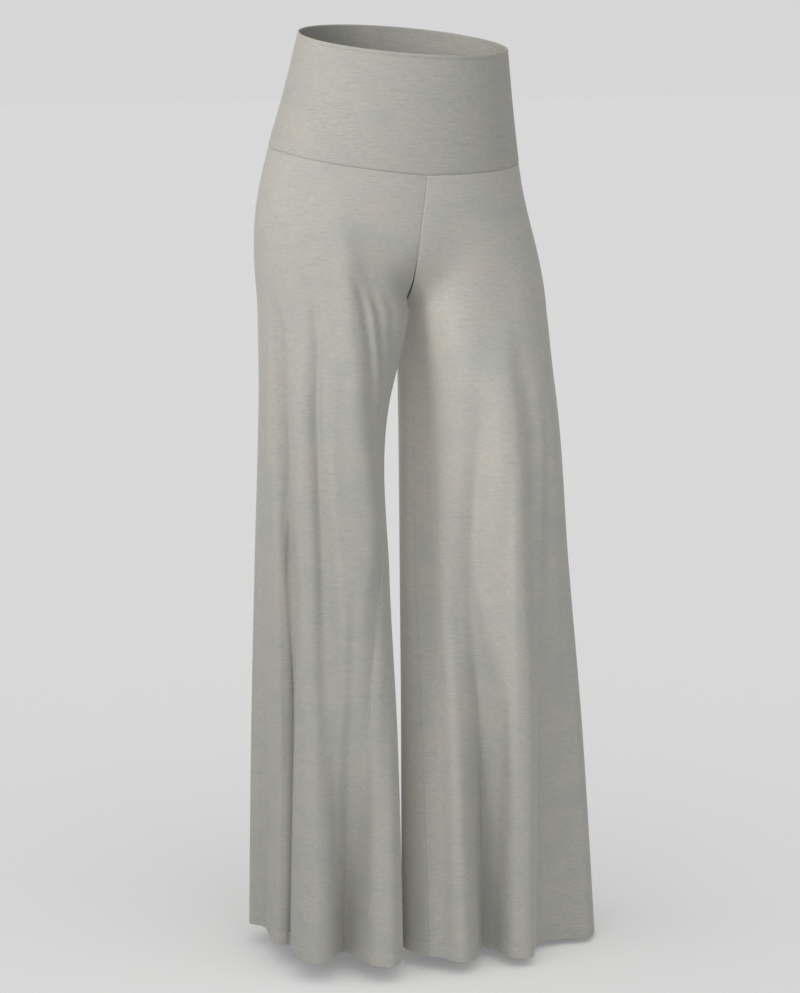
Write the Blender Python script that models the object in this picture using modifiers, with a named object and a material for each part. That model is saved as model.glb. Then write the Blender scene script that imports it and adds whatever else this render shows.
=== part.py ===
"""Palazzo pants: a high folded waistband on two wide legs that fall in deep hem folds.

The garment is filled out as if worn, with nothing inside. Metres, +Z up, front towards -Y, the wearer's left
at +X. The origin is the middle of the waist opening. Each panel is a cloth wall on a lofted surface: a half
oval round the hips that turns into a closed ring round each leg below the crotch.
"""

import bpy
import numpy as np
from math import pi, radians, tan

# Driving sizes
BAND_HEIGHT = 0.129        # waistband, folded edge to waist seam at the sides
BAND_POINT = 0.0095        # how far the waist seam dips at the centre front
CURVE_TOP = -0.160         # where the centre seams leave the belly and the seat and turn under
FRONT_CURVE = 3.6          # how late they turn, as powers of the way down
BACK_CURVE = 3.0
CROTCH = -0.306
CROTCH_Y = 0.010
THIGH_TOP = -0.15          # the oval of the hips turns into the two leg rings between these heights
THIGH_END = -0.42
HEM = -1.068
RIM_LEAN = tan(radians(10.0))    # the waist opening leans forward
HIP_LEAN = tan(radians(3.0))    # the hip on the wearer's left is lower
BAND_WALL = 0.0026         # two layers of jersey
LEG_WALL = 0.0014          # one layer
SEAM_GAP = 0.0003

# Grid of each panel
ACROSS = 22
BESIDE_SEAM = 0.012        # a narrow strip along each seam, so that both panels' walls face the same way there
BAND_AROUND = 64
BAND_ROWS = 3
LEG_ROWS = (-0.165, -0.20, -0.235, -0.265, -0.288, -0.306, -0.335, -0.37, -0.41, -0.46, -0.52, -0.59,
            -0.67, -0.75, -0.83, -0.91, -0.99)

# Hips: height, centre x, half width, depth to the front, depth to the back, and how far the centre front seam
# sits to the wearer's left of the centre
HIPS = np.array([
    (0.000, 0.0045, 0.1245, 0.088, 0.090, 0.000),
    (-0.070, -0.0010, 0.1370, 0.094, 0.099, 0.000),
    (-0.140, -0.0070, 0.1520, 0.100, 0.110, -0.001),
    (-0.200, -0.0075, 0.1640, 0.103, 0.122, -0.008),
    (-0.260, -0.0020, 0.1735, 0.104, 0.128, -0.016),
    (-0.330, 0.0100, 0.1800, 0.102, 0.122, -0.018),
    (-0.420, 0.0120, 0.1850, 0.102, 0.118, -0.018),
])

# Legs without folds: height, centre x outward, centre y, half width, half depth, turn out in degrees,
# angle of the side seam, angle of the inseam, squareness of the inner front corner (2 is an ellipse)
LEGS = {
    "left": np.array([
        (-0.306, 0.0920, CROTCH_Y, 0.0850, 0.108, 0.0, 0.0, 180.0, 4.2),
        (-0.420, 0.1025, 0.010, 0.0830, 0.112, 14.0, 14.0, 187.0, 4.0),
        (-0.600, 0.1110, 0.010, 0.0820, 0.118, 19.0, 18.0, 193.0, 3.2),
        (-0.800, 0.1230, 0.012, 0.0860, 0.125, 20.0, 18.0, 193.0, 2.3),
        (-1.068, 0.1350, 0.014, 0.0910, 0.132, 20.0, 18.0, 192.0, 2.0),
    ]),
    "right": np.array([
        (-0.306, 0.0800, CROTCH_Y, 0.0840, 0.108, 0.0, 0.0, 180.0, 2.4),
        (-0.420, 0.0920, 0.012, 0.0740, 0.112, 14.0, 14.0, 184.0, 3.0),
        (-0.600, 0.0940, 0.014, 0.0765, 0.118, 18.0, 16.0, 186.0, 3.2),
        (-0.800, 0.0910, 0.016, 0.0830, 0.126, 18.0, 12.0, 186.0, 2.6),
        (-1.068, 0.0895, 0.017, 0.0880, 0.132, 16.0, 4.0, 184.0, 2.0),
    ]),
}

# Hem of each leg, seen from above: place along the cloth (0 side seam, +1 inseam in front, -1 inseam behind),
# x outward, y, height where the fold dies out, height where it is full
HEM_FOLDS = {
    "left": np.array([
        (0.00, 0.258, 0.033, -0.36, -1.068),
        (0.12, 0.248, -0.024, -0.36, -1.068),
        (0.22, 0.225, -0.056, -0.36, -1.068),
        (0.30, 0.188, -0.054, -0.45, -1.068),
        (0.37, 0.154, -0.063, -0.40, -1.068),
        (0.42, 0.137, -0.092, -0.40, -1.068),
        (0.48, 0.123, -0.113, -0.34, -1.068),
        (0.55, 0.101, -0.107, -0.34, -1.068),
        (0.62, 0.098, -0.071, -0.42, -1.068),
        (0.70, 0.082, -0.050, -0.38, -1.068),
        (0.76, 0.069, -0.074, -0.38, -1.068),
        (0.81, 0.059, -0.095, -0.38, -1.068),
        (0.86, 0.040, -0.113, -0.38, -1.068),
        (0.91, 0.026, -0.109, -0.38, -1.068),
        (0.955, 0.012, -0.095, -0.38, -1.068),
        (1.00, 0.003, -0.080, -0.38, -1.068),
        (1.10, -0.012, -0.042, -0.40, -1.068),
        (1.22, 0.012, 0.013, -0.45, -1.068),
        (1.32, 0.030, 0.055, -0.45, -1.068),
        (1.41, 0.056, 0.083, -0.42, -1.068),
        (1.49, 0.088, 0.075, -0.48, -1.068),
        (1.58, 0.113, 0.115, -0.42, -1.068),
        (1.67, 0.149, 0.140, -0.42, -1.068),
        (1.75, 0.178, 0.107, -0.50, -1.068),
        (1.84, 0.219, 0.117, -0.45, -1.068),
        (1.92, 0.247, 0.087, -0.40, -1.068),
    ]),
    "right": np.array([
        (0.00, 0.147, 0.072, -0.36, -0.950),
        (0.055, 0.152, 0.045, -0.36, -0.950),
        (0.11, 0.156, 0.010, -0.36, -0.880),
        (0.16, 0.148, 0.003, -0.38, -0.840),
        (0.21, 0.138, 0.004, -0.40, -0.840),
        (0.26, 0.147, -0.021, -0.42, -0.840),
        (0.31, 0.152, -0.047, -0.40, -1.000),
        (0.37, 0.148, -0.067, -0.36, -1.068),
        (0.43, 0.136, -0.078, -0.36, -1.068),
        (0.48, 0.120, -0.070, -0.52, -1.068),
        (0.52, 0.106, -0.048, -0.62, -1.068),
        (0.57, 0.089, -0.031, -0.62, -1.068),
        (0.62, 0.081, -0.041, -0.62, -1.068),
        (0.67, 0.078, -0.067, -0.52, -1.068),
        (0.71, 0.076, -0.092, -0.38, -1.068),
        (0.76, 0.067, -0.106, -0.36, -1.068),
        (0.81, 0.053, -0.111, -0.34, -1.068),
        (0.86, 0.038, -0.097, -0.34, -1.068),
        (0.92, 0.022, -0.064, -0.34, -1.068),
        (1.00, 0.010, -0.002, -0.34, -1.068),
        (1.10, 0.020, 0.041, -0.45, -1.068),
        (1.20, 0.012, 0.086, -0.42, -1.068),
        (1.29, 0.022, 0.122, -0.42, -1.068),
        (1.38, 0.048, 0.114, -0.48, -1.068),
        (1.47, 0.062, 0.142, -0.42, -1.068),
        (1.56, 0.086, 0.152, -0.42, -1.068),
        (1.65, 0.098, 0.115, -0.50, -1.068),
        (1.74, 0.118, 0.130, -0.45, -1.068),
        (1.82, 0.146, 0.120, -0.40, -1.068),
        (1.88, 0.159, 0.095, -0.40, -1.068),
        (1.94, 0.153, 0.084, -0.40, -1.000),
    ]),
}

CLOTH_COLOUR = (0.46, 0.44, 0.39, 1.0)
BAND_COLOUR = (0.49, 0.47, 0.42, 1.0)


def ease(value, start, end):
    """0 before start, 1 after end, smooth between."""
    t = np.clip((value - start) / (end - start), 0.0, 1.0)
    return t * t * (3.0 - 2.0 * t)


def cubic(knots, values, at):
    """Smooth curve through values at rising knots; level outside them."""
    slope = np.diff(values, axis=0) / np.diff(knots)[:, None]
    tangent = np.concatenate([slope[:1], (slope[:-1] + slope[1:]) / 2.0, slope[-1:]])
    k = np.clip(np.searchsorted(knots, at, side="right") - 1, 0, len(knots) - 2)
    width = (knots[k + 1] - knots[k])[..., None]
    t = np.clip((at - knots[k])[..., None] / width, 0.0, 1.0)
    rise = t * t * (3.0 - 2.0 * t)
    leave = t * (1.0 - t) ** 2 * width
    arrive = t * t * (t - 1.0) * width
    return values[k] * (1.0 - rise) + values[k + 1] * rise + leave * tangent[k] + arrive * tangent[k + 1]


def section(table, height):
    """A table's columns at these heights."""
    return np.moveaxis(cubic(-table[:, 0], table[:, 1:], -height), -1, 0)


def lean(x, y, height):
    """The waist opening leans forward, which fades out at the hips. The wearer's left hip is lower, and the
    whole cloth hangs from it."""
    forward = RIM_LEAN * (1.0 - ease(-height, 0.0, 0.30))
    return forward * y - HIP_LEAN * x


def under_curve(height, near, power):
    """How far under the body the cloth has turned, 0 to 1. It comes to its end in a corner on the centre
    seam, where near is 1, and ever more softly away from it."""
    down = np.maximum((CURVE_TOP - height) / (CURVE_TOP - CROTCH), 0.01) ** power
    corner = 2.5 + 30.0 * near ** 8
    soft = (down ** -corner + 1.0) ** (-1.0 / corner)
    return np.where(near > 1.0 - BESIDE_SEAM / 2, np.minimum(down, 1.0), soft)


def seam_dip(u):
    """The waist seam's shallow point at the centre front; u is 0 at the side and 1 at the front."""
    return -BAND_POINT * np.clip((u - 0.15) / 0.85, 0.0, 1.0)


def hem_folds(side, u):
    """Place of the folded hem, x outward and y, and the heights where its fold dies out and is full."""
    table = HEM_FOLDS[side]
    turn = np.array((2.0, 0.0, 0.0, 0.0, 0.0))
    rows = np.concatenate([table[-2:] - turn, table, table[:2] + turn])
    found = cubic(rows[:, 0], rows[:, 1:], np.mod(u, 2.0))
    return found[..., 0], found[..., 1], found[..., 2], found[..., 3]


def leg_ring(side, u, height):
    """Smooth ring round a leg: x outward and y."""
    cx, cy, half_width, half_depth, turn, side_at, inner_at, squareness = section(LEGS[side], height)
    to_front = side_at + u * (inner_at - side_at)
    to_back = side_at - u * (inner_at - 360.0 - side_at)
    angle = np.radians(np.where(u >= 0.0, to_front, to_back))
    across = np.cos(angle)
    forward = np.sin(angle)
    corner = (np.abs(across) ** squareness + np.abs(forward) ** squareness) ** (-1.0 / squareness)
    reach = np.where((across < 0.0) & (forward > 0.0), corner, 1.0)
    turn = np.radians(turn)
    out = half_width * across * reach
    front = half_depth * forward * reach
    return cx + out * np.cos(turn) + front * np.sin(turn), cy + out * np.sin(turn) - front * np.cos(turn)


def leg_point(side, u, height):
    """A point of a leg's cloth. u runs from the side seam, 0, to +1 at the centre front and inseam, and
    to -1 at the centre back and inseam; height is the point's height at the side."""
    u, height = np.broadcast_arrays(np.asarray(u, float), np.asarray(height, float))
    sign = 1.0 if side == "left" else -1.0
    near = np.abs(u)

    hip_x, hip_width, front_depth, back_depth, seam_shift = section(HIPS, height)
    depth = np.where(u > 0.0, front_depth, back_depth)
    hip_x = hip_x + seam_shift * ease(u, 0.5, 1.0)
    hip = np.stack([hip_x + sign * hip_width * np.cos(u * pi / 2), -depth * np.sin(u * pi / 2)], -1)

    x, y = leg_ring(side, u, height)
    hem_x, hem_y = leg_ring(side, u, np.full(u.shape, HEM))
    fold_x, fold_y, dies_out, full = hem_folds(side, u)
    down = np.clip((dies_out - height) / (dies_out - full), 0.0, 1.0)
    grown = 0.45 * ease(down, 0.0, 1.0) + 0.55 * down
    leg = np.stack([sign * (x + grown * (fold_x - hem_x)), y + grown * (fold_y - hem_y)], -1)

    at_middle = ease(-height, -THIGH_TOP, -THIGH_END)
    at_seam = under_curve(height, near, np.where(u > 0.0, FRONT_CURVE, BACK_CURVE))
    share = at_middle + (at_seam - at_middle) * ease(near, 0.6, 1.0)
    plan = hip + (leg - hip) * share[..., None]

    dip = np.where(u > 0.0, seam_dip(near), 0.0) * (1.0 - ease(-height, BAND_HEIGHT, -CROTCH))
    z = height + dip + lean(plan[..., 0], plan[..., 1], height)
    return np.concatenate([plan, z[..., None]], -1)


def band_point(angle, down):
    """A point of the waistband. angle is 0 at the centre front and rises to the wearer's left; down is 0 at
    the folded edge and 1 at the waist seam."""
    angle, down = np.broadcast_arrays(np.asarray(angle, float), np.asarray(down, float))
    height = -BAND_HEIGHT * down
    centre_x, half_width, front_depth, back_depth, _ = section(HIPS, height)
    depth = np.where(np.cos(angle) > 0.0, front_depth, back_depth)
    x = centre_x + half_width * np.sin(angle)
    y = -depth * np.cos(angle)
    from_side = 1.0 - np.abs(angle) / (pi / 2)
    z = height + down * seam_dip(from_side) + lean(x, y, height)
    return np.stack([x, y, z], -1)


def draw_in(points, axis, first, last):
    """Move the edge rows or columns of a grid inwards by half a seam gap."""
    grid = np.moveaxis(points, axis, 0)
    for edge, inner, wanted in ((0, 1, first), (-1, -2, last)):
        if wanted:
            step = grid[inner] - grid[edge]
            grid[edge] += step * (SEAM_GAP / 2 / np.linalg.norm(step, axis=-1, keepdims=True))
    return np.moveaxis(grid, 0, axis)


def material(name, colour, roughness):
    new = bpy.data.materials.new(name)
    new.use_nodes = True
    new.diffuse_color = colour
    shader = new.node_tree.nodes["Principled BSDF"]
    shader.inputs["Base Color"].default_value = colour
    shader.inputs["Roughness"].default_value = roughness
    shader.inputs["Metallic"].default_value = 0.0
    return new


def cloth(name, grid, wall, colour, collection):
    """A cloth wall on a grid of points, rows down and columns across, seen from outside."""
    rows, columns = grid.shape[:2]
    mesh = bpy.data.meshes.new(name)
    faces = []
    for r in range(rows - 1):
        for c in range(columns - 1):
            a = r * columns + c
            faces.append((a, a + columns, a + columns + 1, a + 1))
    mesh.from_pydata(grid.reshape(-1, 3).tolist(), [], faces)
    made = bpy.data.objects.new(name, mesh)
    made.data.materials.append(material(name, colour, 0.85))
    collection.objects.link(made)
    shell = made.modifiers.new("wall", "SOLIDIFY")
    shell.thickness = wall
    shell.offset = -1.0
    shell.use_even_offset = False
    return made


def build():
    for old in list(bpy.data.objects):
        bpy.data.objects.remove(old)
    collection = bpy.data.collections.new("palazzo_pants")
    bpy.context.scene.collection.children.link(collection)

    around = np.linspace(-pi, pi, BAND_AROUND + 1)
    down = np.linspace(0.0, 1.0, BAND_ROWS + 1)
    band = band_point(around[None, :], down[:, None])
    band = draw_in(band, 1, True, True)
    band = draw_in(band, 0, False, True)
    cloth("waistband", band, BAND_WALL, BAND_COLOUR, collection)

    heights = np.array((-BAND_HEIGHT,) + LEG_ROWS + (HEM,))
    for side in ("right", "left"):
        for part, sign in (("front", 1.0), ("back", -1.0)):
            u = np.linspace(0.0, 1.0, ACROSS + 1)
            u = np.concatenate([u[:1], [BESIDE_SEAM], u[1:-1], [1.0 - BESIDE_SEAM], u[-1:]]) * sign
            if (side == "right") == (part == "front"):
                order = u
            else:
                order = u[::-1]
            panel = leg_point(side, order[None, :], heights[:, None])
            panel = draw_in(panel, 1, True, True)
            panel = draw_in(panel, 0, True, False)
            cloth("leg_%s_%s" % (part, side), panel, LEG_WALL, CLOTH_COLOUR, collection)


build()
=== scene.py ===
"""Palazzo pants in heathered viscose jersey: a high folded waistband and two wide legs in soft folds.

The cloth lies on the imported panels: the sizes below are theirs, and the finer creases, seams and hems are
laid over them. Metres, +Z up, the garment's front towards -Y.
"""

from math import cos, pi, radians, sin, tan

import bpy
import numpy as np
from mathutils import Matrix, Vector


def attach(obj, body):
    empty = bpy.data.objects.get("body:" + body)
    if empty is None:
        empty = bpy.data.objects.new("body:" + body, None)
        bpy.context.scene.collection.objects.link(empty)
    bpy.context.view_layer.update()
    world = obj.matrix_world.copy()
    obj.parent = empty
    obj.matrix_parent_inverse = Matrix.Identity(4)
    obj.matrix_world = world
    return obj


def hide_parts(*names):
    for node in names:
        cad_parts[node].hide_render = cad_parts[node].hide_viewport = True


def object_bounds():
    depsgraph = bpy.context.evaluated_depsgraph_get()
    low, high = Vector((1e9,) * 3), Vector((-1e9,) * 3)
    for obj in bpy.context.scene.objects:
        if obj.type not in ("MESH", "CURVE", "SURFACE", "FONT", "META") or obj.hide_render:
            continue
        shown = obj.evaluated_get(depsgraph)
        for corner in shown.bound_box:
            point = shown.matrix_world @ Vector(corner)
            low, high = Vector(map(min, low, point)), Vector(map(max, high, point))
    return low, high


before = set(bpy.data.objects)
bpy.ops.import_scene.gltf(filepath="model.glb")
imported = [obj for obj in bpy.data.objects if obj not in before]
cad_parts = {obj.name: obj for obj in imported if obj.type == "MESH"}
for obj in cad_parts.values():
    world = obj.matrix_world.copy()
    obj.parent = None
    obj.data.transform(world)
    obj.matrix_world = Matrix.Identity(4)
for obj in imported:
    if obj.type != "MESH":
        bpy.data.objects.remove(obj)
cad_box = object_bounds()

# ---------------------------------------------------------------------------------------------------------
# Sizes of the panels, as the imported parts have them
# ---------------------------------------------------------------------------------------------------------
BAND_HEIGHT = 0.129        # waistband, folded edge to waist seam at the sides
BAND_POINT = 0.0095        # how far the waist seam dips at the centre front
CURVE_TOP = -0.160         # where the centre seams leave the belly and the seat and turn under
FRONT_CURVE = 3.6          # how late they turn, as powers of the way down
BACK_CURVE = 3.0
CROTCH = -0.306
CROTCH_Y = 0.010
THIGH_TOP = -0.15          # the oval of the hips turns into the two leg rings between these heights
THIGH_END = -0.42
HEM = -1.068
RIM_LEAN = tan(radians(10.0))    # the waist opening leans forward
HIP_LEAN = tan(radians(3.0))    # the hip on the wearer's left is lower

# Hips: height, centre x, half width, depth to the front, depth to the back, and how far the centre front
# seam sits from the centre, above 0 to the wearer's left and below 0 to the right
HIPS = np.array([
    (0.000, 0.0045, 0.1245, 0.088, 0.090, 0.000),
    (-0.070, -0.0010, 0.1370, 0.094, 0.099, 0.000),
    (-0.140, -0.0070, 0.1520, 0.100, 0.110, -0.001),
    (-0.200, -0.0075, 0.1640, 0.103, 0.122, -0.008),
    (-0.260, -0.0020, 0.1735, 0.104, 0.128, -0.016),
    (-0.330, 0.0100, 0.1800, 0.102, 0.122, -0.018),
    (-0.420, 0.0120, 0.1850, 0.102, 0.118, -0.018),
])

# Legs without folds: height, centre x outward, centre y, half width, half depth, turn out in degrees,
# angle of the side seam, angle of the inseam, squareness of the inner front corner (2 is an ellipse)
LEGS = {
    "left": np.array([
        (-0.306, 0.0920, CROTCH_Y, 0.0850, 0.108, 0.0, 0.0, 180.0, 4.2),
        (-0.420, 0.1025, 0.010, 0.0830, 0.112, 14.0, 14.0, 187.0, 4.0),
        (-0.600, 0.1110, 0.010, 0.0820, 0.118, 19.0, 18.0, 193.0, 3.2),
        (-0.800, 0.1230, 0.012, 0.0860, 0.125, 20.0, 18.0, 193.0, 2.3),
        (-1.068, 0.1350, 0.014, 0.0910, 0.132, 20.0, 18.0, 192.0, 2.0),
    ]),
    "right": np.array([
        (-0.306, 0.0800, CROTCH_Y, 0.0840, 0.108, 0.0, 0.0, 180.0, 2.4),
        (-0.420, 0.0920, 0.012, 0.0740, 0.112, 14.0, 14.0, 184.0, 3.0),
        (-0.600, 0.0940, 0.014, 0.0765, 0.118, 18.0, 16.0, 186.0, 3.2),
        (-0.800, 0.0910, 0.016, 0.0830, 0.126, 18.0, 12.0, 186.0, 2.6),
        (-1.068, 0.0895, 0.017, 0.0880, 0.132, 16.0, 4.0, 184.0, 2.0),
    ]),
}

# Hem of each leg, seen from above: place round the leg (0 side seam, 1 inseam, and by way of the back to 2,
# the side seam again), x outward, y, height where the fold dies out, height where it is full
HEM_FOLDS = {
    "left": np.array([
        (0.00, 0.258, 0.033, -0.36, -1.068),
        (0.12, 0.248, -0.024, -0.36, -1.068),
        (0.22, 0.225, -0.056, -0.36, -1.068),
        (0.30, 0.188, -0.054, -0.45, -1.068),
        (0.37, 0.154, -0.063, -0.40, -1.068),
        (0.42, 0.137, -0.092, -0.40, -1.068),
        (0.48, 0.123, -0.113, -0.34, -1.068),
        (0.55, 0.101, -0.107, -0.34, -1.068),
        (0.62, 0.098, -0.071, -0.42, -1.068),
        (0.70, 0.082, -0.050, -0.38, -1.068),
        (0.76, 0.069, -0.074, -0.38, -1.068),
        (0.81, 0.059, -0.095, -0.38, -1.068),
        (0.86, 0.040, -0.113, -0.38, -1.068),
        (0.91, 0.026, -0.109, -0.38, -1.068),
        (0.955, 0.012, -0.095, -0.38, -1.068),
        (1.00, 0.003, -0.080, -0.38, -1.068),
        (1.10, -0.012, -0.042, -0.40, -1.068),
        (1.22, 0.012, 0.013, -0.45, -1.068),
        (1.32, 0.030, 0.055, -0.45, -1.068),
        (1.41, 0.056, 0.083, -0.42, -1.068),
        (1.49, 0.088, 0.075, -0.48, -1.068),
        (1.58, 0.113, 0.115, -0.42, -1.068),
        (1.67, 0.149, 0.140, -0.42, -1.068),
        (1.75, 0.178, 0.107, -0.50, -1.068),
        (1.84, 0.219, 0.117, -0.45, -1.068),
        (1.92, 0.247, 0.087, -0.40, -1.068),
    ]),
    "right": np.array([
        (0.00, 0.147, 0.072, -0.36, -0.950),
        (0.055, 0.152, 0.045, -0.36, -0.950),
        (0.11, 0.156, 0.010, -0.36, -0.880),
        (0.16, 0.148, 0.003, -0.38, -0.840),
        (0.21, 0.138, 0.004, -0.40, -0.840),
        (0.26, 0.147, -0.021, -0.42, -0.840),
        (0.31, 0.152, -0.047, -0.40, -1.000),
        (0.37, 0.148, -0.067, -0.36, -1.068),
        (0.43, 0.136, -0.078, -0.36, -1.068),
        (0.48, 0.120, -0.070, -0.52, -1.068),
        (0.52, 0.106, -0.048, -0.62, -1.068),
        (0.57, 0.089, -0.031, -0.62, -1.068),
        (0.62, 0.081, -0.041, -0.62, -1.068),
        (0.67, 0.078, -0.067, -0.52, -1.068),
        (0.71, 0.076, -0.092, -0.38, -1.068),
        (0.76, 0.067, -0.106, -0.36, -1.068),
        (0.81, 0.053, -0.111, -0.34, -1.068),
        (0.86, 0.038, -0.097, -0.34, -1.068),
        (0.92, 0.022, -0.064, -0.34, -1.068),
        (1.00, 0.010, -0.002, -0.34, -1.068),
        (1.10, 0.020, 0.041, -0.45, -1.068),
        (1.20, 0.012, 0.086, -0.42, -1.068),
        (1.29, 0.022, 0.122, -0.42, -1.068),
        (1.38, 0.048, 0.114, -0.48, -1.068),
        (1.47, 0.062, 0.142, -0.42, -1.068),
        (1.56, 0.086, 0.152, -0.42, -1.068),
        (1.65, 0.098, 0.115, -0.50, -1.068),
        (1.74, 0.118, 0.130, -0.45, -1.068),
        (1.82, 0.146, 0.120, -0.40, -1.068),
        (1.88, 0.159, 0.095, -0.40, -1.068),
        (1.94, 0.153, 0.084, -0.40, -1.000),
    ]),
}

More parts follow.
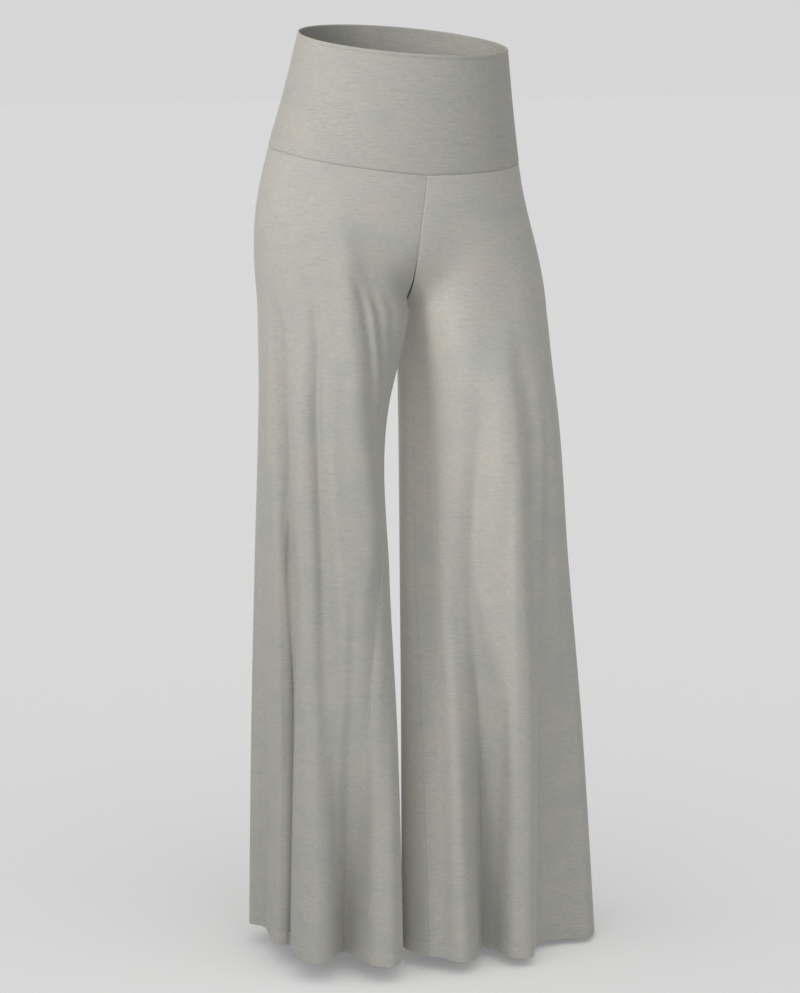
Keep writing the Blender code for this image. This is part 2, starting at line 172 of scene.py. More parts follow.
# ---------------------------------------------------------------------------------------------------------
# The cloth's own creases, laid over the panels: soft ridges, and troughs below 0, that run down a leg.
# Each is a short table of height, place across the cloth (0 side seam, +1 centre front and inseam, -1 centre
# back and inseam), depth in mm, and half width as a place.
# ---------------------------------------------------------------------------------------------------------
CREASES = {
    "right": {
        "beside the side seam": [
            (-0.29, 0.10, 0.0, 0.030), (-0.345, 0.112, -10.0, 0.038), (-0.385, 0.117, -16.0, 0.042),
            (-0.47, 0.140, -18.0, 0.046), (-0.55, 0.172, -12.5, 0.050), (-0.634, 0.232, -8.0, 0.056),
            (-0.72, 0.24, -3.0, 0.060), (-0.84, 0.24, 0.0, 0.060)],
        "side ridge": [
            (-0.33, 0.24, 0.0, 0.035), (-0.385, 0.24, 1.5, 0.035), (-0.47, 0.285, 2.5, 0.035),
            (-0.55, 0.30, 2.5, 0.035), (-0.634, 0.325, 2.0, 0.035), (-0.75, 0.35, 1.0, 0.035),
            (-0.90, 0.36, 0.0, 0.035)],
        "thigh trough": [
            (-0.26, 0.33, 0.0, 0.030), (-0.314, 0.33, -5.0, 0.032), (-0.385, 0.335, -10.0, 0.038),
            (-0.47, 0.385, -9.5, 0.038), (-0.55, 0.415, -9.5, 0.040), (-0.634, 0.440, -9.0, 0.044),
            (-0.71, 0.455, -8.5, 0.052), (-0.79, 0.475, -7.0, 0.060), (-0.87, 0.49, -5.0, 0.060),
            (-0.98, 0.50, 0.0, 0.060)],
        "front ridge": [
            (-0.16, 0.56, 0.0, 0.075), (-0.24, 0.57, 3.8, 0.072), (-0.28, 0.530, 4.5, 0.058),
            (-0.314, 0.490, 4.0, 0.050), (-0.385, 0.53, 5.0, 0.056), (-0.47, 0.61, 6.0, 0.072),
            (-0.55, 0.665, 7.0, 0.085), (-0.634, 0.690, 9.0, 0.095), (-0.72, 0.680, 10.0, 0.100),
            (-0.79, 0.660, 7.0, 0.090), (-0.88, 0.65, 0.0, 0.090)],
        "inner thigh hollow": [
            (-0.21, 0.68, 0.0, 0.100), (-0.28, 0.67, -5.0, 0.095), (-0.33, 0.68, -7.5, 0.090),
            (-0.385, 0.72, -6.5, 0.090), (-0.47, 0.82, -4.0, 0.090), (-0.60, 0.88, 0.0, 0.090)],
        "inside the front ridge": [
            (-0.25, 0.580, 0.0, 0.028), (-0.28, 0.575, -2.0, 0.026), (-0.314, 0.572, -3.0, 0.024),
            (-0.35, 0.592, -3.0, 0.026), (-0.40, 0.635, -2.0, 0.032), (-0.48, 0.70, 0.0, 0.040)],
        "gather 1": [
            (-0.28, 0.615, 0.0, 0.018), (-0.305, 0.613, 0.9, 0.018), (-0.335, 0.620, 0.9, 0.020),
            (-0.385, 0.660, 0.7, 0.025), (-0.44, 0.70, 0.0, 0.030)],
        "gather 2": [
            (-0.275, 0.655, 0.0, 0.018), (-0.30, 0.652, -1.1, 0.018), (-0.335, 0.656, -1.2, 0.020),
            (-0.385, 0.715, -0.8, 0.025), (-0.43, 0.75, 0.0, 0.025)],
        "gather 3": [
            (-0.275, 0.695, 0.0, 0.016), (-0.30, 0.691, 0.9, 0.017), (-0.33, 0.690, 0.9, 0.020),
            (-0.385, 0.755, 0.0, 0.020)],
        "gather 4": [
            (-0.270, 0.745, 0.0, 0.020), (-0.30, 0.738, -1.1, 0.020), (-0.33, 0.738, -1.2, 0.024),
            (-0.37, 0.79, 0.0, 0.025)],
        "side seam ridge": [
            (-0.35, 0.035, 0.0, 0.015), (-0.42, 0.035, 1.0, 0.015), (-0.55, 0.03, 1.4, 0.015),
            (-0.65, 0.02, 1.2, 0.015), (-0.78, 0.01, 0.0, 0.015)],
        "seat fold 1": [
            (-0.34, -0.40, 0.0, 0.040), (-0.45, -0.41, -5.0, 0.045), (-0.60, -0.42, -6.0, 0.050),
            (-0.78, -0.44, -3.0, 0.050), (-0.92, -0.44, 0.0, 0.050)],
        "seat fold 2": [
            (-0.31, -0.66, 0.0, 0.035), (-0.37, -0.66, -4.0, 0.040), (-0.50, -0.64, -6.0, 0.045),
            (-0.66, -0.62, -3.5, 0.050), (-0.80, -0.62, 0.0, 0.050)],
        "fill of the side fold": [
            (-0.60, 0.20, 0.0, 0.030), (-0.70, 0.195, 3.5, 0.034), (-0.85, 0.195, 5.0, 0.036),
            (-1.00, 0.195, 4.0, 0.036), (-1.06, 0.195, 3.0, 0.036)],
        "fill of the knee fold": [
            (-0.80, 0.55, 0.0, 0.100), (-0.88, 0.55, 3.5, 0.100), (-0.96, 0.55, 6.0, 0.100),
            (-1.06, 0.55, 7.0, 0.100)],
    },
    "left": {
        "thigh trough": [
            (-0.33, 0.68, 0.0, 0.050), (-0.385, 0.68, -4.0, 0.060), (-0.45, 0.710, -12.0, 0.062),
            (-0.52, 0.735, -13.0, 0.054), (-0.60, 0.745, -9.5, 0.050), (-0.70, 0.735, -3.0, 0.050),
            (-0.78, 0.72, 0.0, 0.050)],
        "inner ridge": [
            (-0.34, 0.86, 0.0, 0.040), (-0.42, 0.87, 1.5, 0.040), (-0.50, 0.88, 2.0, 0.040),
            (-0.60, 0.88, 2.0, 0.040), (-0.76, 0.895, 0.0, 0.040)],
        "side trough": [
            (-0.37, 0.47, 0.0, 0.035), (-0.45, 0.465, -3.0, 0.035), (-0.55, 0.46, -4.5, 0.035),
            (-0.70, 0.43, -4.5, 0.040), (-0.85, 0.38, -3.0, 0.040), (-0.98, 0.34, 0.0, 0.040)],
        "inner corner": [
            (-0.31, -0.950, 0.0, 0.055), (-0.37, -0.950, 5.0, 0.060), (-0.45, -0.950, 7.0, 0.060),
            (-0.65, -0.955, 7.0, 0.060), (-0.85, -0.960, 4.0, 0.060), (-1.03, -0.96, 0.0, 0.060)],
        "by the inseam": [
            (-0.43, -0.975, 0.0, 0.012), (-0.50, -0.975, 1.6, 0.012), (-0.62, -0.975, 1.6, 0.012),
            (-0.74, -0.97, 0.0, 0.012)],
        "seat fold 1": [
            (-0.33, -0.45, 0.0, 0.040), (-0.43, -0.45, -5.5, 0.045), (-0.58, -0.46, -6.5, 0.050),
            (-0.74, -0.48, -3.0, 0.050), (-0.88, -0.50, 0.0, 0.050)],
        "seat fold 2": [
            (-0.32, -0.70, 0.0, 0.035), (-0.39, -0.69, -4.0, 0.040), (-0.53, -0.67, -5.5, 0.045),
            (-0.68, -0.66, -3.0, 0.050), (-0.82, -0.66, 0.0, 0.050)],
        "fill of the knee fold": [
            (-0.72, 0.69, 0.0, 0.100), (-0.80, 0.685, 4.0, 0.100), (-0.88, 0.680, 6.0, 0.100),
            (-1.06, 0.675, 8.0, 0.100)],
        "beside the inseam": [
            (-0.60, 0.94, 0.0, 0.030), (-0.70, 0.94, -5.0, 0.032), (-0.85, 0.945, -8.0, 0.034),
            (-1.00, 0.95, -8.0, 0.034), (-1.06, 0.95, -7.0, 0.034)],
        "outer ridge": [
            (-0.30, 0.55, 0.0, 0.060), (-0.38, 0.565, 5.0, 0.065), (-0.47, 0.560, 6.0, 0.065),
            (-0.58, 0.55, 4.0, 0.060), (-0.70, 0.54, 0.0, 0.060)],
    },
}

SEAM_DEPTH = 0.0006        # how deep the cloth turns in at a seam
SEAM_WIDTH = 0.0009
UPRIGHT_SEAM = 0.6         # the legs' own seams lie flatter than the waist seam
FOLD_RADIUS = 0.0011       # of the hems' and the waistband's folded edges
HEM_TURN_UP = 0.016
STITCH_LINE = 0.0125       # the hem's two rows of stitches above the edge
STITCH_ROWS = 0.0032       # between the rows
STITCH_LENGTH = 0.0026
STITCH_GAP = 0.0007
CLOTH = 0.0008             # thickness of one layer
BAND_PROUD = 0.0006        # the waistband's two layers stand out above the legs' one
LIP_DEPTH = 0.0008         # soft roll along the waistband's top edge in front
LIP_BELOW = 0.0045         # the hollow under the roll, below the rim
LIP_AT = 0.0010            # the roll's crest, below the rim
LIP_WIDTH = 0.0016
GROOVE_WIDTH = 0.0015      # of the hollow under the roll
GROOVE_SHARE = 0.8         # its depth, as a share of the roll's
BAND_CLOTH = 0.0007        # thickness of each of the waistband's layers
DIMPLE = 0.0004            # how far a row of stitches draws the cloth in
DIMPLE_WIDTH = 0.0009
THREAD = 0.00042
UP = np.array((0.0, 0.0, 1.0))

# How finely the cloth is divided
PANEL_COLUMNS = 96
PANEL_WIDTH = 0.36         # a leg panel's usual width, which places the extra columns at its seams
PANEL_ROWS = 210
ROWS_BELOW_WAIST = 0.006   # the even rows start this far below the waist seam
ROWS_ABOVE_HEM = 0.022     # and end this far above the hem
SEAM_COLUMNS = (0.0003, 0.0008, 0.0014, 0.0022, 0.0034)    # distances from a seam
WAIST_ROWS = (0.0, 0.0004, 0.0010, 0.0018, 0.0030)         # below the waist seam
HEM_ROWS = (0.019, 0.0172, 0.0162, 0.0155, 0.0148, 0.0140, 0.0132, 0.0125, 0.0118, 0.0110,
            0.0100, 0.008, 0.006, 0.004, 0.002, 0.0008, 0.0)    # above the hem's edge
BAND_COLUMNS = 300
BAND_ROWS = 45
BAND_SEAM_COLUMNS = (0.002, 0.004, 0.007, 0.011, 0.017)    # angles from the centre back seam
RIM_ROWS = (0.001, 0.002, 0.0035, 0.005)                   # below the rim
BAND_SEAM_ROWS = (0.0004, 0.001, 0.0018, 0.003)            # above the waist seam
FOLD_STEPS = 6             # round a hem's folded edge
RIM_STEPS = 8              # round the waistband's
STITCH_STEPS = 6           # rings along a stitch
STITCH_SIDES = 6


def ease(value, start, end):
    """0 before start, 1 after end, smooth between."""
    t = np.clip((value - start) / (end - start), 0.0, 1.0)
    return t * t * (3.0 - 2.0 * t)


def cubic(knots, values, at):
    """Smooth curve through values at rising knots; level outside them."""
    slope = np.diff(values, axis=0) / np.diff(knots)[:, None]
    tangent = np.concatenate([slope[:1], (slope[:-1] + slope[1:]) / 2.0, slope[-1:]])
    k = np.clip(np.searchsorted(knots, at, side="right") - 1, 0, len(knots) - 2)
    width = (knots[k + 1] - knots[k])[..., None]
    t = np.clip((at - knots[k])[..., None] / width, 0.0, 1.0)
    rise = t * t * (3.0 - 2.0 * t)
    leave = t * (1.0 - t) ** 2 * width
    arrive = t * t * (t - 1.0) * width
    return values[k] * (1.0 - rise) + values[k + 1] * rise + leave * tangent[k] + arrive * tangent[k + 1]


def section(table, height):
    """A table's columns at these heights."""
    return np.moveaxis(cubic(-table[:, 0], table[:, 1:], -height), -1, 0)


def lean(x, y, height):
    """The waist opening leans forward, which fades out at the hips. The wearer's left hip is lower, and the
    whole cloth hangs from it."""
    forward = RIM_LEAN * (1.0 - ease(-height, 0.0, 0.30))
    return forward * y - HIP_LEAN * x


def under_curve(height, near, power):
    """How far under the body the cloth has turned, 0 to 1. It comes to its end in a corner on the centre
    seam, where near is 1, and ever more softly away from it."""
    down = np.maximum((CURVE_TOP - height) / (CURVE_TOP - CROTCH), 0.01) ** power
    corner = 2.5 + 30.0 * near ** 8
    soft = (down ** -corner + 1.0) ** (-1.0 / corner)
    return np.where(near > 1.0 - 1e-6, np.minimum(down, 1.0), soft)


def seam_dip(u):
    """The waist seam's shallow point at the centre front; u is 0 at the side and 1 at the front."""
    return -BAND_POINT * np.clip((u - 0.15) / 0.85, 0.0, 1.0)


def hem_folds(side, u):
    """Place of the folded hem, x outward and y, and the heights where its fold dies out and is full."""
    table = HEM_FOLDS[side]
    turn = np.array((2.0, 0.0, 0.0, 0.0, 0.0))
    rows = np.concatenate([table[-2:] - turn, table, table[:2] + turn])
    found = cubic(rows[:, 0], rows[:, 1:], np.mod(u, 2.0))
    return found[..., 0], found[..., 1], found[..., 2], found[..., 3]


def leg_ring(side, u, height):
    """Smooth ring round a leg: x outward and y."""
    cx, cy, half_width, half_depth, turn, side_at, inner_at, squareness = section(LEGS[side], height)
    to_front = side_at + u * (inner_at - side_at)
    to_back = side_at - u * (inner_at - 360.0 - side_at)
    angle = np.radians(np.where(u >= 0.0, to_front, to_back))
    across = np.cos(angle)
    forward = np.sin(angle)
    corner = (np.abs(across) ** squareness + np.abs(forward) ** squareness) ** (-1.0 / squareness)
    reach = np.where((across < 0.0) & (forward > 0.0), corner, 1.0)
    turn = np.radians(turn)
    out = half_width * across * reach
    front = half_depth * forward * reach
    return cx + out * np.cos(turn) + front * np.sin(turn), cy + out * np.sin(turn) - front * np.cos(turn)


def leg_point(side, u, height):
    """A point of a leg's cloth. u runs from the side seam, 0, to +1 at the centre front and inseam, and
    to -1 at the centre back and inseam; height is the point's height at the side."""
    u, height = np.broadcast_arrays(np.asarray(u, float), np.asarray(height, float))
    sign = 1.0 if side == "left" else -1.0
    near = np.abs(u)

    hip_x, hip_width, front_depth, back_depth, seam_shift = section(HIPS, height)
    depth = np.where(u > 0.0, front_depth, back_depth)
    hip_x = hip_x + seam_shift * ease(u, 0.5, 1.0)
    hip = np.stack([hip_x + sign * hip_width * np.cos(u * pi / 2), -depth * np.sin(u * pi / 2)], -1)

    x, y = leg_ring(side, u, height)
    hem_x, hem_y = leg_ring(side, u, np.full(u.shape, HEM))
    fold_x, fold_y, dies_out, full = hem_folds(side, u)
    down = np.clip((dies_out - height) / (dies_out - full), 0.0, 1.0)
    grown = 0.45 * ease(down, 0.0, 1.0) + 0.55 * down
    leg = np.stack([sign * (x + grown * (fold_x - hem_x)), y + grown * (fold_y - hem_y)], -1)

    at_middle = ease(-height, -THIGH_TOP, -THIGH_END)
    at_seam = under_curve(height, near, np.where(u > 0.0, FRONT_CURVE, BACK_CURVE))
    share = at_middle + (at_seam - at_middle) * ease(near, 0.6, 1.0)
    plan = hip + (leg - hip) * share[..., None]

    dip = np.where(u > 0.0, seam_dip(near), 0.0) * (1.0 - ease(-height, BAND_HEIGHT, -CROTCH))
    z = height + dip + lean(plan[..., 0], plan[..., 1], height)
    return np.concatenate([plan, z[..., None]], -1)


def band_point(angle, down):
    """A point of the waistband. angle is 0 at the centre front and rises to the wearer's left; down is 0 at
    the folded edge and 1 at the waist seam."""
    angle, down = np.broadcast_arrays(np.asarray(angle, float), np.asarray(down, float))
    height = -BAND_HEIGHT * down
    centre_x, half_width, front_depth, back_depth, _ = section(HIPS, height)
    depth = np.where(np.cos(angle) > 0.0, front_depth, back_depth)
    x = centre_x + half_width * np.sin(angle)
    y = -depth * np.cos(angle)
    from_side = 1.0 - np.abs(angle) / (pi / 2)
    z = height + down * seam_dip(from_side) + lean(x, y, height)
    return np.stack([x, y, z], -1)


def crease_depth(side, u, height):
    """Sum of a leg's creases, as an offset outwards."""
    u, height = np.broadcast_arrays(np.asarray(u, float), np.asarray(height, float))
    total = np.zeros(u.shape)
    for knots in CREASES[side].values():
        table = np.array(knots)
        inside = np.clip(height, table[-1, 0], table[0, 0])
        place, depth, width = np.moveaxis(cubic(-table[:, 0], table[:, 1:], -inside), -1, 0)
        away = np.mod(u - place + 1.0, 2.0) - 1.0
        total = total + 0.001 * depth * np.exp(-(away / width) ** 2)
    return total


def outward(grid):
    """Unit normals of a grid of points, rows down and columns counter-clockwise seen from above."""
    down = np.gradient(grid, axis=0)
    across = np.gradient(grid, axis=1)
    normal = np.cross(down, across)
    length = np.linalg.norm(normal, axis=-1, keepdims=True)
    return normal / np.maximum(length, 1e-12)


def round_the_leg(side, u, height):
    """A point of a leg, also past its inseam, where the front panel carries on as the back one."""
    wrapped = np.where((np.abs(u) > 1.0) & (height < CROTCH), u - 2.0 * np.sign(u), u)
    return leg_point(side, np.clip(wrapped, -1.0, 1.0), height)


def cloth_point(side, u, height):
    """A point of a leg's cloth with its creases, which stand along the panel's normal there."""
    u, height = np.broadcast_arrays(np.asarray(u, float), np.asarray(height, float))
    aside = 0.004
    below = 0.002
    across = round_the_leg(side, u + aside, height) - round_the_leg(side, u - aside, height)
    down = leg_point(side, u, height - below) - leg_point(side, u, height + below)
    normal = np.cross(down, across) * (-1.0 if side == "left" else 1.0)
    normal = normal / np.maximum(np.linalg.norm(normal, axis=-1, keepdims=True), 1e-12)
    return leg_point(side, u, height) + normal * crease_depth(side, u, height)[..., None]


def distance_along(grid, axis):
    """Length of cloth from the first row or column of a grid to each point."""
    step = np.linalg.norm(np.diff(grid, axis=axis), axis=-1)
    first = np.zeros_like(np.take(step, [0], axis=axis))
    return np.concatenate([first, np.cumsum(step, axis=axis)], axis=axis)


def seam_drop(distance):
    """How far a panel's edge turns in at this distance from its seam."""
    return -SEAM_DEPTH * np.exp(-(distance / SEAM_WIDTH) ** 2)


def edge_steps(count, width):
    """Even shares of a panel's width, with extra columns close to both edges for the seams."""
    close = np.array(SEAM_COLUMNS) / width
    middle = np.linspace(0.0, 1.0, count + 1)[1:-1]
    middle = middle[(middle > close[-1] * 1.4) & (middle < 1.0 - close[-1] * 1.4)]
    return np.concatenate([[0.0], close, middle, 1.0 - close[::-1], [1.0]])


def mesh_of_grid(name, grid, closed=False):
    """A mesh on a grid of points, rows down and columns counter-clockwise seen from above, with the length
    of cloth across and down as its UV map. A closed grid's last column joins its first."""
    rows, columns = grid.shape[:2]
    number = np.arange(rows * columns).reshape(rows, columns)
    laid = grid
    if closed:
        number = np.concatenate([number, number[:, :1]], axis=1)
        laid = np.concatenate([grid, grid[:, :1]], axis=1)
    cloth_map = np.stack([distance_along(laid, 1), -distance_along(laid, 0)], -1)
    corners = ((slice(None, -1), slice(None, -1)), (slice(1, None), slice(None, -1)),
               (slice(1, None), slice(1, None)), (slice(None, -1), slice(1, None)))
    faces = np.stack([number[corner] for corner in corners], -1).reshape(-1, 4)
    loops = np.stack([cloth_map[corner] for corner in corners], -2).reshape(-1, 2)
    mesh = bpy.data.meshes.new(name)
    mesh.from_pydata(grid.reshape(-1, 3).tolist(), [], faces.tolist())
    mesh.polygons.foreach_set("use_smooth", np.ones(len(mesh.polygons), bool))
    layer = mesh.uv_layers.new(name="Cloth")
    layer.uv.foreach_set("vector", loops.astype(np.float32).ravel())
    made = bpy.data.objects.new(name, mesh)
    bpy.context.scene.collection.objects.link(made)
    return made


def thicken(piece, thickness=CLOTH):
    """Give a surface a wall on its inner side."""
    wall = piece.modifiers.new("cloth", "SOLIDIFY")
    wall.thickness = thickness
    wall.offset = -1.0
    wall.use_even_offset = False
    bpy.context.view_layer.objects.active = piece
    with bpy.context.temp_override(object=piece, active_object=piece, selected_objects=[piece]):
        bpy.ops.object.modifier_apply(modifier=wall.name)


# ---------------------------------------------------------------------------------------------------------
# Materials
# ---------------------------------------------------------------------------------------------------------
class Nodes:
    """Short calls for building a node tree."""

    def __init__(self, name):
        self.material = bpy.data.materials.new(name)
        self.material.use_nodes = True
        self.tree = self.material.node_tree
        self.shader = self.tree.nodes["Principled BSDF"]

    def new(self, kind, **settings):
        node = self.tree.nodes.new(kind)
        for key, value in settings.items():
            setattr(node, key, value)
        return node

    def link(self, source, target):
        self.tree.links.new(source, target)

    def noise(self, vector, scale, detail=2.0, rough=0.5):
        node = self.new("ShaderNodeTexNoise")
        node.inputs["Scale"].default_value = scale
        node.inputs["Detail"].default_value = detail
        node.inputs["Roughness"].default_value = rough
        self.link(vector, node.inputs["Vector"])
        return node.outputs["Fac"]

    def stretch(self, vector, scale):
        node = self.new("ShaderNodeMapping")
        node.inputs["Scale"].default_value = scale
        self.link(vector, node.inputs["Vector"])
        return node.outputs["Vector"]

    def spread(self, value, low, high, to_low=0.0, to_high=1.0):
        node = self.new("ShaderNodeMapRange")
        node.inputs["From Min"].default_value = low
        node.inputs["From Max"].default_value = high
        node.inputs["To Min"].default_value = to_low
        node.inputs["To Max"].default_value = to_high
        self.link(value, node.inputs["Value"])
        return node.outputs["Result"]

    def mix(self, factor, first, second, blend="MIX"):
        node = self.new("ShaderNodeMix", data_type="RGBA", blend_type=blend)
        self.put(factor, node.inputs["Factor"])
        self.put(first, node.inputs[6])
        self.put(second, node.inputs[7])
        return node.outputs[2]

    def math(self, operation, first, second):
        node = self.new("ShaderNodeMath", operation=operation)
        self.put(first, node.inputs[0])
        self.put(second, node.inputs[1])
        return node.outputs[0]

    def put(self, value, target):
        if hasattr(value, "is_linked"):
            self.link(value, target)
        else:
            target.default_value = value


PALE_YARN = (0.393, 0.389, 0.358, 1.0)
GREY_YARN = (0.294, 0.299, 0.284, 1.0)
DARK_YARN = (0.212, 0.218, 0.211, 1.0)
WARM_YARN = (0.398, 0.356, 0.316, 1.0)
COOL_YARN = (0.298, 0.314, 0.310, 1.0)
BAND_PAINTED_SHADE_LIGHTNESS = 0.95      # the waistband's copy of the jersey is a little darker all over: painted shade
THREAD_DARK = (0.46, 0.45, 0.41, 1.0)
THREAD_PALE = (0.60, 0.58, 0.52, 1.0)
FLOOR_DARK = (0.800, 0.800, 0.801, 1.0)
FLOOR_PALE = (0.815, 0.815, 0.816, 1.0)
FLOOR_GLOW = 0.18          # the paper floor gives off a little light of its own
WALE = 0.0011              # between the jersey's ribs, across


def jersey(name, lightness=1.0):
    """Heathered viscose jersey: pale and grey fibres spun together, so short flecks lie along the rows."""
    n = Nodes(name)
    place = n.new("ShaderNodeTexCoord").outputs["Object"]
    flecks = n.noise(n.stretch(place, (150.0, 150.0, 1300.0)), 1.0, 3.0, 0.6)
    slubs = n.noise(n.stretch(place, (36.0, 36.0, 620.0)), 1.0, 2.0, 0.5)
    warmer = n.noise(n.stretch(place, (20.0, 20.0, 34.0)), 1.0, 3.0, 0.6)
    cooler = n.noise(n.stretch(place, (15.0, 15.0, 24.0)), 1.0, 3.0, 0.6)
    fine = n.noise(place, 1400.0, 1.0, 0.5)
    colour = n.mix(n.spread(flecks, 0.30, 0.72), tint(GREY_YARN, lightness), tint(PALE_YARN, lightness))
    colour = n.mix(n.spread(slubs, 0.58, 0.76, 0.0, 0.30), colour, tint(PALE_YARN, lightness))
    colour = n.mix(n.spread(slubs, 0.42, 0.24, 0.0, 0.32), colour, tint(DARK_YARN, lightness))
    colour = n.mix(n.spread(warmer, 0.44, 0.66, 0.0, 0.38), colour, tint(WARM_YARN, lightness))
    colour = n.mix(n.spread(cooler, 0.50, 0.68, 0.0, 0.45), colour, tint(COOL_YARN, lightness))
    n.link(colour, n.shader.inputs["Base Color"])
    cloth_map = n.new("ShaderNodeUVMap", uv_map="Cloth").outputs["UV"]
    wales = n.new("ShaderNodeTexWave", wave_type="BANDS", bands_direction="X", wave_profile="SIN")
    wales.inputs["Scale"].default_value = pi / 10.0 / WALE
    n.link(cloth_map, wales.inputs["Vector"])
    height = n.math("ADD", n.math("MULTIPLY", flecks, 0.6), n.math("MULTIPLY", fine, 0.5))
    height = n.math("ADD", height, n.math("MULTIPLY", wales.outputs["Fac"], 0.25))
    bump = n.new("ShaderNodeBump")
    bump.inputs["Strength"].default_value = 0.30
    bump.inputs["Distance"].default_value = 0.0005
    n.link(height, bump.inputs["Height"])
    n.link(bump.outputs["Normal"], n.shader.inputs["Normal"])
    n.link(n.spread(flecks, 0.3, 0.7, 0.86, 0.76), n.shader.inputs["Roughness"])
    n.shader.inputs["Specular IOR Level"].default_value = 0.30
    n.shader.inputs["Sheen Weight"].default_value = 0.22
    n.shader.inputs["Sheen Roughness"].default_value = 0.45
    n.shader.inputs["Sheen Tint"].default_value = (0.93, 0.92, 0.88, 1.0)
    return n.material


def tint(colour, lightness):
    return tuple(c * lightness for c in colour[:3]) + (1.0,)


def thread(name):
    """Matt spun polyester sewing thread in the cloth's colour."""
    n = Nodes(name)
    place = n.new("ShaderNodeTexCoord").outputs["Object"]
    twist = n.noise(place, 2600.0, 1.0, 0.5)
    n.link(n.mix(twist, THREAD_DARK, THREAD_PALE), n.shader.inputs["Base Color"])
    n.shader.inputs["Roughness"].default_value = 0.6
    return n.material


def floor_paint(name):
    """White paper, very slightly uneven."""
    n = Nodes(name)
    place = n.new("ShaderNodeTexCoord").outputs["Object"]
    patch = n.noise(place, 0.7, 3.0, 0.5)
    n.link(n.mix(patch, FLOOR_DARK, FLOOR_PALE), n.shader.inputs["Base Color"])
    n.shader.inputs["Roughness"].default_value = 0.9
    n.shader.inputs["Specular IOR Level"].default_value = 0.1
    n.shader.inputs["Emission Color"].default_value = (1.0, 1.0, 1.0, 1.0)
    n.shader.inputs["Emission Strength"].default_value = FLOOR_GLOW
    return n.material


def finish_panel(piece, node, material):
    """Give a piece of cloth its material, hang it from the root body and hide the imported panel it stands
    for.
    """
    piece.data.materials.append(material)
    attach(piece, "root")
    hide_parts(node)


def leg_grid(side, part):
    """Points of a leg panel's outer face down to the hem's edge, with its creases and seams, the normals
    there and the rows' heights."""
    sign = 1.0 if part == "front" else -1.0
    u = edge_steps(PANEL_COLUMNS, PANEL_WIDTH) * sign
    if (side == "right") != (part == "front"):
        u = u[::-1]
    top = -BAND_HEIGHT - np.array(WAIST_ROWS)
    middle = np.linspace(-BAND_HEIGHT - ROWS_BELOW_WAIST, HEM + ROWS_ABOVE_HEM, PANEL_ROWS)
    low = HEM + np.array(HEM_ROWS)
    height = np.unique(np.concatenate([top, middle, low, [CROTCH]]))[::-1]
    grid = cloth_point(side, u[None, :], height[:, None])
    normal = outward(grid)
    across = distance_along(grid, 1)
    drop = UPRIGHT_SEAM * (seam_drop(across) + seam_drop(across[:, -1:] - across))
    down = distance_along(grid, 0)
    drop = drop + seam_drop(down)
    above = height - HEM
    for row in (STITCH_LINE, STITCH_LINE + STITCH_ROWS):
        drop = drop - DIMPLE * np.exp(-((above[:, None] - row) / DIMPLE_WIDTH) ** 2)
    grid = grid + normal * drop[..., None]
    return grid, normal, height


def leg_panel(side, part, material):
    """A leg's front or back piece with its hem turned up inside, and its rows for the stitches."""
    grid, normal, height = leg_grid(side, part)
    edge = grid[-1]
    inward = -normal[-1]
    turned = []
    for k in range(1, FOLD_STEPS + 1):
        turn = pi * k / FOLD_STEPS
        turned.append(edge + inward * FOLD_RADIUS * (1.0 - cos(turn)) - UP * FOLD_RADIUS * sin(turn))
    inside = [i for i in range(len(height) - 2, 0, -1) if height[i] - HEM <= HEM_TURN_UP]
    for i in inside[::2]:
        turned.append(grid[i] - normal[i] * 2.0 * FOLD_RADIUS)
    whole = np.concatenate([grid, np.array(turned)])
    name = "leg_%s_%s_cloth" % (part, side)
    piece = mesh_of_grid(name, whole)
    thicken(piece)
    finish_panel(piece, "leg_%s_%s" % (part, side), material)
    return piece, (grid, normal, height)


def stitch_row(line, normal):
    """Points of a row of stitches along a line on the cloth: a short bent barrel each, as rings."""
    along = distance_along(line, 0)
    count = int(along[-1] / (STITCH_LENGTH + STITCH_GAP))
    middle = (np.arange(count) + 0.5) * along[-1] / count
    t = np.linspace(-0.5, 0.5, STITCH_STEPS)
    at = middle[:, None] + t * STITCH_LENGTH
    place = np.stack([np.interp(at, along, line[:, k]) for k in range(3)], -1)
    up = np.stack([np.interp(at, along, normal[:, k]) for k in range(3)], -1)
    up = up / np.linalg.norm(up, axis=-1, keepdims=True)
    forward = np.gradient(place, axis=1)
    side = np.cross(forward, up)
    side = side / np.linalg.norm(side, axis=-1, keepdims=True)
    arch = THREAD * (0.75 * np.cos(pi * t) - 0.20)
    round_it = np.arange(STITCH_SIDES) * pi / (STITCH_SIDES / 2)
    radius = THREAD / 2 * (0.55 + 0.45 * np.cos(pi * t) ** 0.5)
    ring = (up[:, :, None] * np.sin(round_it)[:, None] + side[:, :, None] * np.cos(round_it)[:, None])
    return (place + up * arch[:, None])[:, :, None] + ring * radius[:, None, None]


def hem_stitches(side, panels, material):
    """The twin needle's two rows above a hem's edge, all round the leg, as one mesh."""
    barrels = []
    for grid, normal, height in panels:
        for row in (STITCH_LINE, STITCH_LINE + STITCH_ROWS):
            nearest = np.argmin(np.abs(height - HEM - row))
            barrels.append(stitch_row(grid[nearest], normal[nearest]))
    rings = np.concatenate(barrels)
    count, steps, sides = rings.shape[:3]
    number = np.arange(count * steps * sides).reshape(count, steps, sides)
    after = np.roll(number, -1, axis=2)
    walls = np.stack([number[:, :-1], after[:, :-1], after[:, 1:], number[:, 1:]], -1).reshape(-1, 4)
    ends = np.concatenate([number[:, 0, ::-1], number[:, -1]])
    mesh = bpy.data.meshes.new("stitches")
    mesh.from_pydata(rings.reshape(-1, 3).tolist(), [], walls.tolist() + ends.tolist())
    mesh.polygons.foreach_set("use_smooth", np.ones(len(mesh.polygons), bool))
    piece = bpy.data.objects.new("leg_%s_hem_stitches" % side, mesh)
    bpy.context.scene.collection.objects.link(piece)
    mesh.materials.append(material)
    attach(piece, "root")
    return piece


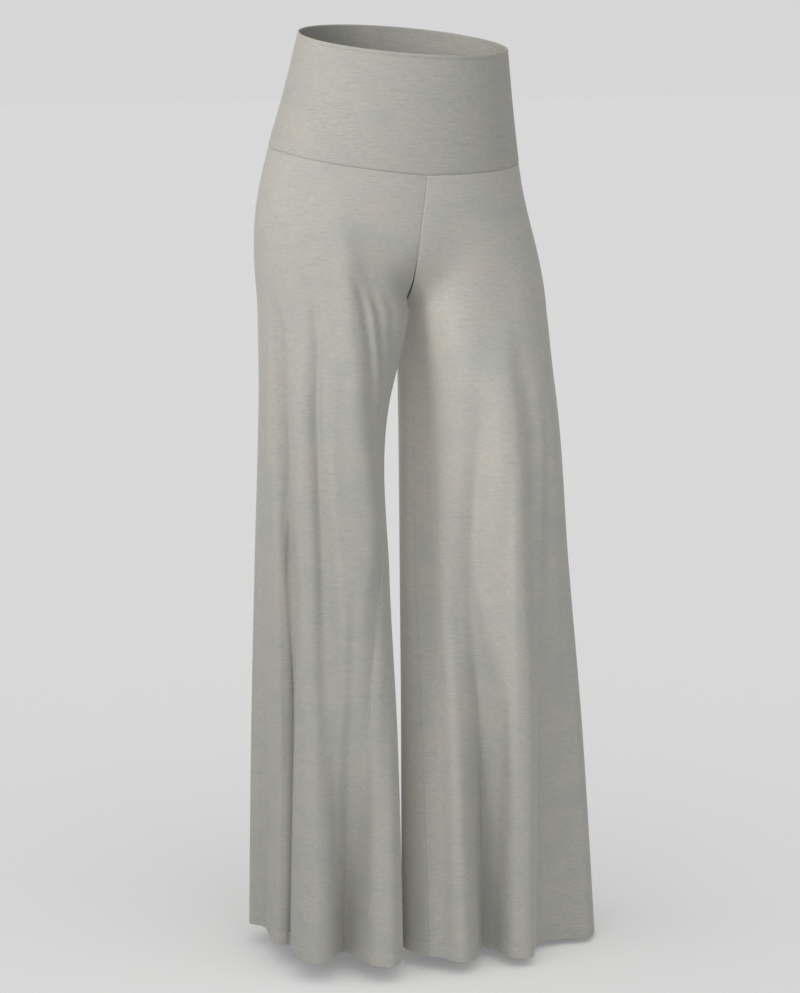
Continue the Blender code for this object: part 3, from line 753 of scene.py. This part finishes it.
def waistband(material):
    """One piece of jersey folded double at the top edge: outer face, rim and inner face in one closed ring,
    joined at the centre back."""
    angle = np.linspace(-pi, pi, BAND_COLUMNS + 1)[:-1]
    beside = np.array(BAND_SEAM_COLUMNS)
    angle = np.sort(np.concatenate([angle, beside - pi, pi - beside]))
    down = np.concatenate([
        np.linspace(0.0, 1.0, BAND_ROWS + 1), np.array(RIM_ROWS) / BAND_HEIGHT,
        1.0 - np.array(BAND_SEAM_ROWS) / BAND_HEIGHT])
    down = np.unique(down)
    grid = band_point(angle[None, :], down[:, None])
    ring = np.concatenate([grid[:, -1:], grid, grid[:, :1]], axis=1)
    normal = outward(ring)[:, 1:-1]
    from_seam = distance_along(grid[::-1], 0)[::-1]
    from_rim = distance_along(grid, 0)
    round_back = (pi - np.abs(angle)) * section(HIPS, np.zeros(1))[1]
    lift = BAND_PROUD + seam_drop(from_seam) * (1.0 + BAND_PROUD / SEAM_DEPTH)
    lift = lift + seam_drop(round_back)[None, :]
    front = ease(np.cos(angle), 0.1, 0.6)[None, :]
    lip = LIP_DEPTH * (np.exp(-((from_rim - LIP_AT) / LIP_WIDTH) ** 2)
                       - GROOVE_SHARE * np.exp(-((from_rim - LIP_BELOW) / GROOVE_WIDTH) ** 2))
    lift = lift + front * lip
    outer = grid + normal * lift[..., None]
    rim = [outer[0] - normal[0] * FOLD_RADIUS * (1.0 - cos(turn)) + UP * FOLD_RADIUS * sin(turn)
           for turn in np.linspace(pi, 0.0, RIM_STEPS + 1)[1:-1]]
    inner = grid[::-1] + normal[::-1] * (BAND_PROUD - 2.0 * FOLD_RADIUS)
    whole = np.concatenate([inner, np.array(rim), outer])
    piece = mesh_of_grid("waistband_cloth", whole, closed=True)
    thicken(piece, BAND_CLOTH)
    finish_panel(piece, "waistband", material)
    return piece


# ---------------------------------------------------------------------------------------------------------
# Stage, light and camera
# ---------------------------------------------------------------------------------------------------------
FLOOR_SIZE = 60.0
FLOOR_BELOW = 0.005        # under the lowest point of the hems


def stage():
    """A wide paper floor just under the hems."""
    floor_height = cad_box[0][2] - FLOOR_BELOW
    bpy.ops.mesh.primitive_grid_add(
        x_subdivisions=8, y_subdivisions=8, size=FLOOR_SIZE, location=(0, 0, floor_height))
    floor = bpy.context.active_object
    floor.name = "floor"
    floor.data.materials.append(floor_paint("floor_paint"))


WORLD_FROM = (-0.54, -0.84, 0.50)     # where the room is brightest
WORLD_DIM = 0.225
WORLD_BRIGHT = 0.80                   # added to the dim level
WORLD_TURNS = (-0.4, 1.0)             # cosines of the angle from there, for the dim and the bright level
WORLD_COLOUR = (1.0, 1.0, 0.995, 1.0)
BACKDROP = 0.676                      # what the camera sees of the room
KEY_COLOUR = (1.0, 0.955, 0.885)
# Round soft boxes that light the cloth alone: name, place, what it is aimed at, size, spread in degrees,
# power, and a word in the names of the pieces it lights, which alone cast its shadows ("" is all of them)
SOFT_BOXES = (
    ("key", (-1.82, -0.98, 0.45), (0.0, 0.0, -0.06), 0.8, 54.0, 2.9, ""),
    ("left_thigh", (-1.94, 0.48, -0.42), (0.06, -0.03, -0.52), 0.5, 38.0, 0.80, "left"),
    ("left_front", (0.10, -2.1, -0.20), (0.10, -0.05, -0.27), 0.5, 26.0, 0.14, "left"),
    ("behind", (0.30, 2.3, 0.30), (0.02, 0.0, -0.50), 1.0, 60.0, 1.8, ""),
    ("hems", (-0.40, -2.2, -0.98), (0.02, 0.0, -1.00), 0.6, 30.0, 0.16, ""),
)


def studio_light(lit):
    """A pale room, brighter on the camera's left, which the camera sees as an even backdrop, and the soft
    boxes."""
    world = bpy.data.worlds.new("studio")
    bpy.context.scene.world = world
    world.use_nodes = True
    tree = world.node_tree
    tree.nodes.clear()
    out = tree.nodes.new("ShaderNodeOutputWorld")
    seen = tree.nodes.new("ShaderNodeBackground")
    seen.inputs["Color"].default_value = (BACKDROP, BACKDROP, BACKDROP, 1.0)
    light = tree.nodes.new("ShaderNodeBackground")
    coordinates = tree.nodes.new("ShaderNodeTexCoord")
    dot = tree.nodes.new("ShaderNodeVectorMath")
    dot.operation = "DOT_PRODUCT"
    dot.inputs[1].default_value = Vector(WORLD_FROM).normalized()
    ramp = tree.nodes.new("ShaderNodeMapRange")
    ramp.interpolation_type = "SMOOTHSTEP"
    ramp.inputs["From Min"].default_value = WORLD_TURNS[0]
    ramp.inputs["From Max"].default_value = WORLD_TURNS[1]
    ramp.inputs["To Min"].default_value = WORLD_DIM
    ramp.inputs["To Max"].default_value = WORLD_DIM + WORLD_BRIGHT
    tree.links.new(coordinates.outputs["Generated"], dot.inputs[0])
    tree.links.new(dot.outputs["Value"], ramp.inputs["Value"])
    tree.links.new(ramp.outputs["Result"], light.inputs["Strength"])
    light.inputs["Color"].default_value = WORLD_COLOUR
    path = tree.nodes.new("ShaderNodeLightPath")
    mix = tree.nodes.new("ShaderNodeMixShader")
    tree.links.new(path.outputs["Is Camera Ray"], mix.inputs[0])
    tree.links.new(light.outputs[0], mix.inputs[1])
    tree.links.new(seen.outputs[0], mix.inputs[2])
    tree.links.new(mix.outputs[0], out.inputs["Surface"])

    for name, place, aim, size, spread, power, whose in SOFT_BOXES:
        soft_box(name, place, aim, size, radians(spread), power, [p for p in lit if whose in p.name])


def soft_box(name, place, aim, size, spread, power, lit):
    """A round soft box that lights only these pieces."""
    data = bpy.data.lights.new(name, "AREA")
    data.shape = "DISK"
    data.size = size
    data.energy = power
    data.spread = spread
    data.color = KEY_COLOUR
    box = bpy.data.objects.new(name, data)
    bpy.context.scene.collection.objects.link(box)
    box.location = place
    box.rotation_euler = (Vector(aim) - box.location).to_track_quat("-Z", "Y").to_euler()
    group = bpy.data.collections.new("lit_by_" + name)
    for piece in lit:
        group.objects.link(piece)
    box.light_linking.receiver_collection = group
    box.light_linking.blocker_collection = group


CAMERA_AZIMUTH = radians(-22.0)
CAMERA_AWAY = 3.4
CAMERA_HEIGHT = 0.04
CAMERA_AIM = (0, 0, -0.53)
SENSOR = 36.0              # millimetres, as is the lens
LENS = 106.25


def camera():
    """The photo's view: from the wearer's right front, a little above the waistband's top edge."""
    data = bpy.data.cameras.new("camera")
    data.sensor_width = SENSOR
    data.lens = LENS
    made = bpy.data.objects.new("camera", data)
    bpy.context.scene.collection.objects.link(made)
    made.location = (
        CAMERA_AWAY * sin(CAMERA_AZIMUTH), -CAMERA_AWAY * cos(CAMERA_AZIMUTH), CAMERA_HEIGHT)
    made.rotation_euler = (Vector(CAMERA_AIM) - made.location).to_track_quat("-Z", "Y").to_euler()
    data.clip_end = 200.0
    bpy.context.scene.camera = made


bpy.context.scene.view_settings.view_transform = "Standard"
leg_cloth = jersey("leg_jersey")
# The waistband gets a darker copy of the jersey: painted shade.
band_cloth_painted_shade = jersey("waistband_jersey", BAND_PAINTED_SHADE_LIGHTNESS)
sewing_thread = thread("thread")
cloths = [waistband(band_cloth_painted_shade)]
for side in ("right", "left"):
    panels = []
    for part in ("front", "back"):
        piece, rows = leg_panel(side, part, leg_cloth)
        cloths.append(piece)
        panels.append(rows)
    cloths.append(hem_stitches(side, panels, sewing_thread))
stage()
studio_light(cloths)
camera()
